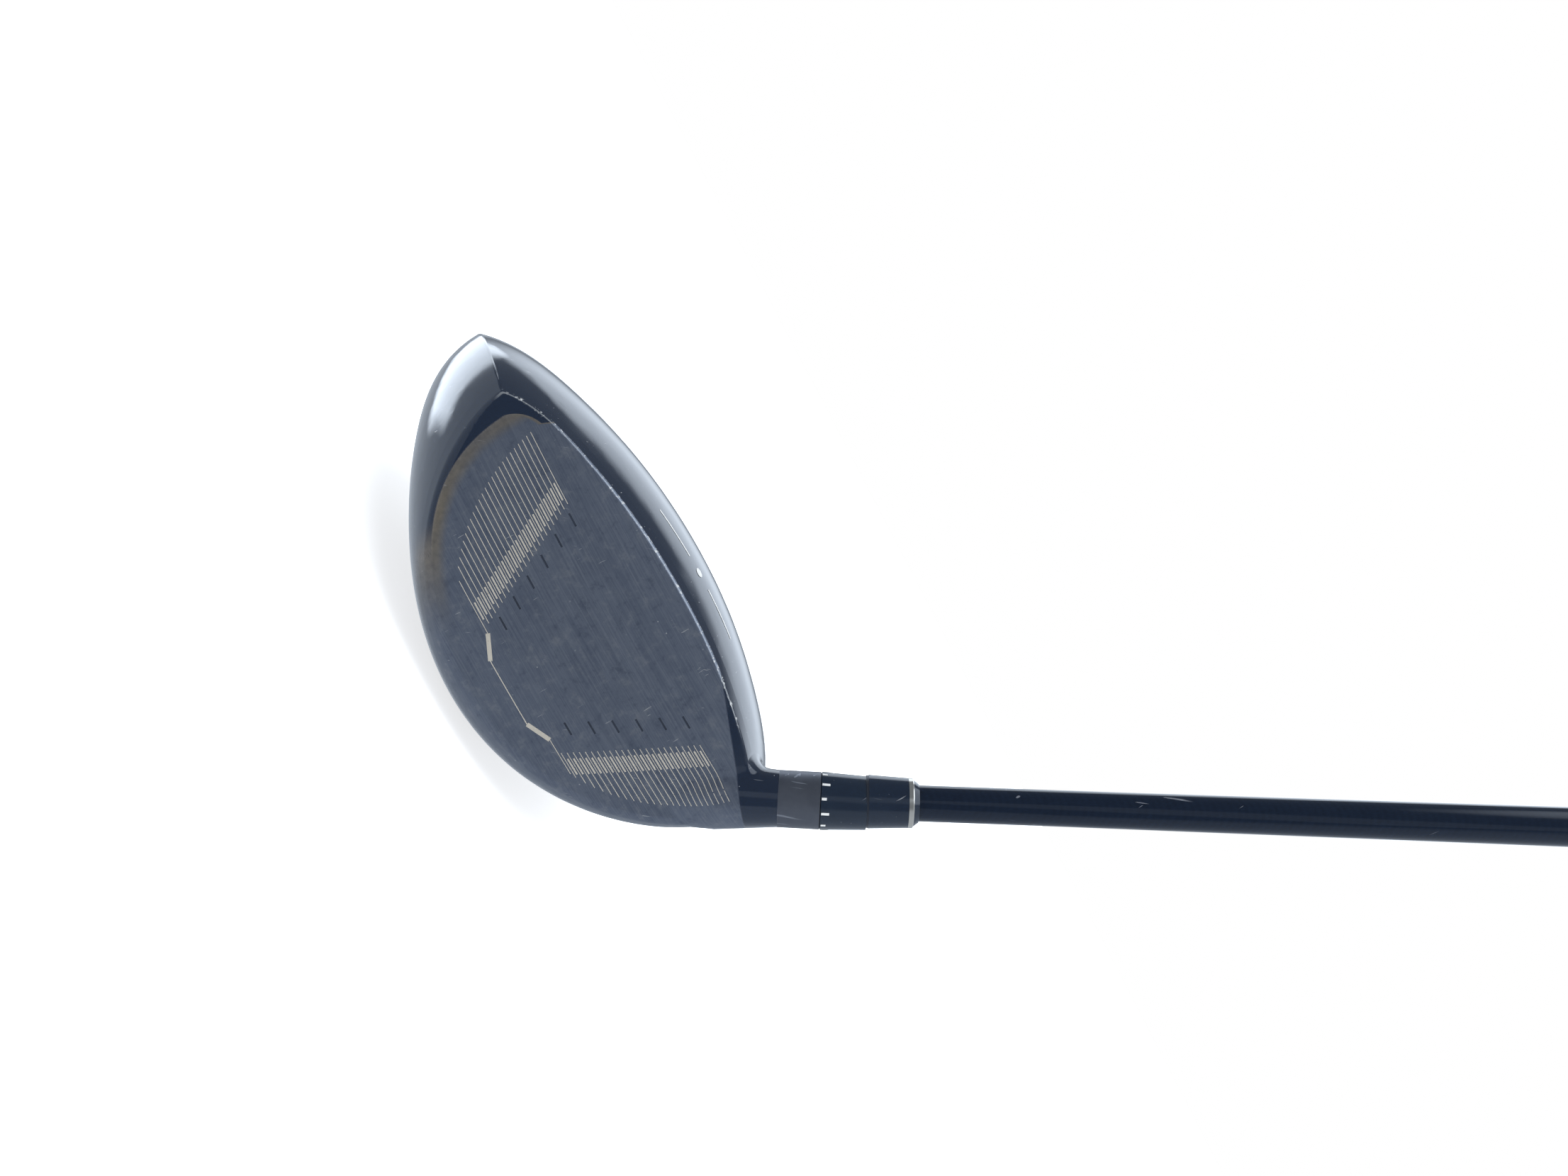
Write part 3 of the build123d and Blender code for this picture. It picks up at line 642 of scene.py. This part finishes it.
def on_grip(along, angle, lift):
    """The point of the grip's skin at a distance along the shaft (mm) and an angle."""
    out = side_one * math.cos(angle) + side_two * math.sin(angle)
    start = (SHAFT_ZERO + SHAFT_DIR * along + out * 40) * MM
    place, normal, _, _ = rubber_skin.tree.ray_cast(start, -out)
    return place + normal * (lift * MM)


class Nubs(Bars):
    """Raised lozenges on a round skin."""

    def lozenge(self, along, angle, long, wide, high, point):
        radius = (point(along, angle, 0) / MM - SHAFT_ZERO - SHAFT_DIR * along).length
        half = wide / 2 / radius
        first = len(self.vertices)
        outline = ((-long / 2, 0), (0, -half), (long / 2, 0), (0, half))
        for share, lift in ((1.0, -0.1), (1.0, high * 0.4), (0.62, high)):
            for a, b in outline:
                self.vertices.append(point(along + a * share, angle + b * share, lift))
        for ring in (first, first + 4):
            for k in range(4):
                self.faces.append((ring + k, ring + (k + 1) % 4, ring + 4 + (k + 1) % 4, ring + 4 + k))
        self.faces.append((first + 3, first + 2, first + 1, first))
        self.faces.append((first + 8, first + 9, first + 10, first + 11))


nubs = Nubs()
for row in range(GRIP_ROWS):
    for column in range(GRIP_COLUMNS):
        angle = math.tau * (column + 0.5 * (row % 2)) / GRIP_COLUMNS
        nubs.lozenge(GRIP_START + row * GRIP_PITCH, angle, NUB_LONG, NUB_WIDE, NUB_HIGH, on_grip)
nubs.piece("grip_pattern", grip_rubber, "grip_rubber", "shaft_assembly")


# ======== stage: floor, light, camera ========
def plain(name, base, glow):
    s = Shader(name)
    shade = s.noise(3.0, 2.0, 0.5)
    s.surface(
        Base_Color=s.blend(shade, base, tuple(c * 0.985 for c in base)),
        Roughness=s.span(shade, 0.3, 0.7, 0.86, 0.92),
        Emission_Color=(1, 1, 1, 1),
        Emission_Strength=glow,
    )
    return s.material


FLOOR_SPREAD = 14.0
FLOOR_AT = (0, 0, -0.0002)
FLOOR_GLOW = 0.72
bpy.ops.mesh.primitive_circle_add(vertices=96, radius=FLOOR_SPREAD, fill_type="NGON", location=FLOOR_AT)
floor = bpy.context.object
floor.name = "floor"
floor.data.materials.append(plain("pale_floor", (0.93, 0.93, 0.93), FLOOR_GLOW))
floor.visible_glossy = False


OVERHEAD_WIDE = 2.4
OVERHEAD_RADIANCE = 2.2
OVERHEAD_AT = Vector((0.2, -0.3, 2.2))
OVERHEAD_AIM = Vector((0.1, 0, 0))
softbox = bpy.data.lights.new("overhead", "AREA")
softbox.shape = "RECTANGLE"
softbox.size = OVERHEAD_WIDE
softbox.size_y = OVERHEAD_WIDE
softbox.energy = OVERHEAD_RADIANCE * math.pi * OVERHEAD_WIDE * OVERHEAD_WIDE
overhead = bpy.data.objects.new("overhead", softbox)
bpy.context.scene.collection.objects.link(overhead)
overhead.location = OVERHEAD_AT
overhead.rotation_euler = (OVERHEAD_AIM - OVERHEAD_AT).to_track_quat("-Z", "Y").to_euler()
overhead.visible_camera = False
overhead.visible_glossy = False

world = bpy.data.worlds.new("studio")
world.use_nodes = True
w = Nodes(world.node_tree, "Generated")
back_way = w.axis("Y")
rise = w.axis("Z")
to_side = w.axis("X")

# A dim neutral room with large soft boxes, seen in reflections: each is its brightness inside its edges.
ROOM_LIGHT = 0.3
floor_bounce = w.every(w.step(rise, 0.02, -0.06), 0.65)
back_box = w.every(w.step(back_way, 0.7, 0.8), w.step(rise, -0.1, 0.3), 2.0)
toe_box = w.every(
    w.step(back_way, 0.4, 0.48),
    w.step(to_side, -0.44, -0.56),
    w.step(rise, -0.6, -0.5),
    w.step(rise, 0.32, 0.22),
    3.8,
)
top_box = w.every(w.step(rise, 0.8, 0.88), 2.2)
front_box = w.every(
    w.step(back_way, -0.7, -0.8),
    w.step(rise, 0.2, 0.3),
    w.step(rise, 0.62, 0.5),
    w.step(to_side, 0.42, 0.34),
    0.6,
)
heel_fill = w.every(w.step(to_side, 0.2, 0.7), 0.7)
brightness = ROOM_LIGHT
for panel in (floor_bounce, back_box, toe_box, top_box, front_box, heel_fill):
    brightness = w.math("MAXIMUM", brightness, panel)
room = w.add("ShaderNodeBackground", {"Color": (0.8, 0.89, 1.0, 1), "Strength": brightness})
seen = w.add("ShaderNodeBackground", {"Color": (1, 1, 1, 1), "Strength": 1.0})
ray = w.add("ShaderNodeLightPath").outputs["Is Camera Ray"]
studio = w.add("ShaderNodeMixShader", {0: ray, 1: room.outputs[0], 2: seen.outputs[0]})
w.feed(world.node_tree.nodes["World Output"].inputs["Surface"], studio.outputs[0])
bpy.context.scene.world = world
bpy.context.scene.view_settings.view_transform = "Standard"

# The club lies on its side in the view, so the camera is rolled about its line of sight.
CAMERA_AT = Vector((-18.8, -282.0, 111.3))
CAMERA_AIM = Vector((15.6, -17.0, 82.1))
CAMERA_ROLL = math.radians(62.5)
CAMERA_LENS = 27.03
camera_data = bpy.data.cameras.new("camera")
camera_data.sensor_width = 36.0
camera_data.lens = CAMERA_LENS
camera_data.clip_start = 0.01
camera = bpy.data.objects.new("camera", camera_data)
bpy.context.scene.collection.objects.link(camera)
level = (CAMERA_AIM - CAMERA_AT).to_track_quat("-Z", "Y").to_matrix().to_4x4()
camera.matrix_world = Matrix.Translation(CAMERA_AT * MM) @ level @ Matrix.Rotation(CAMERA_ROLL, 4, "Z")
bpy.context.scene.camera = camera
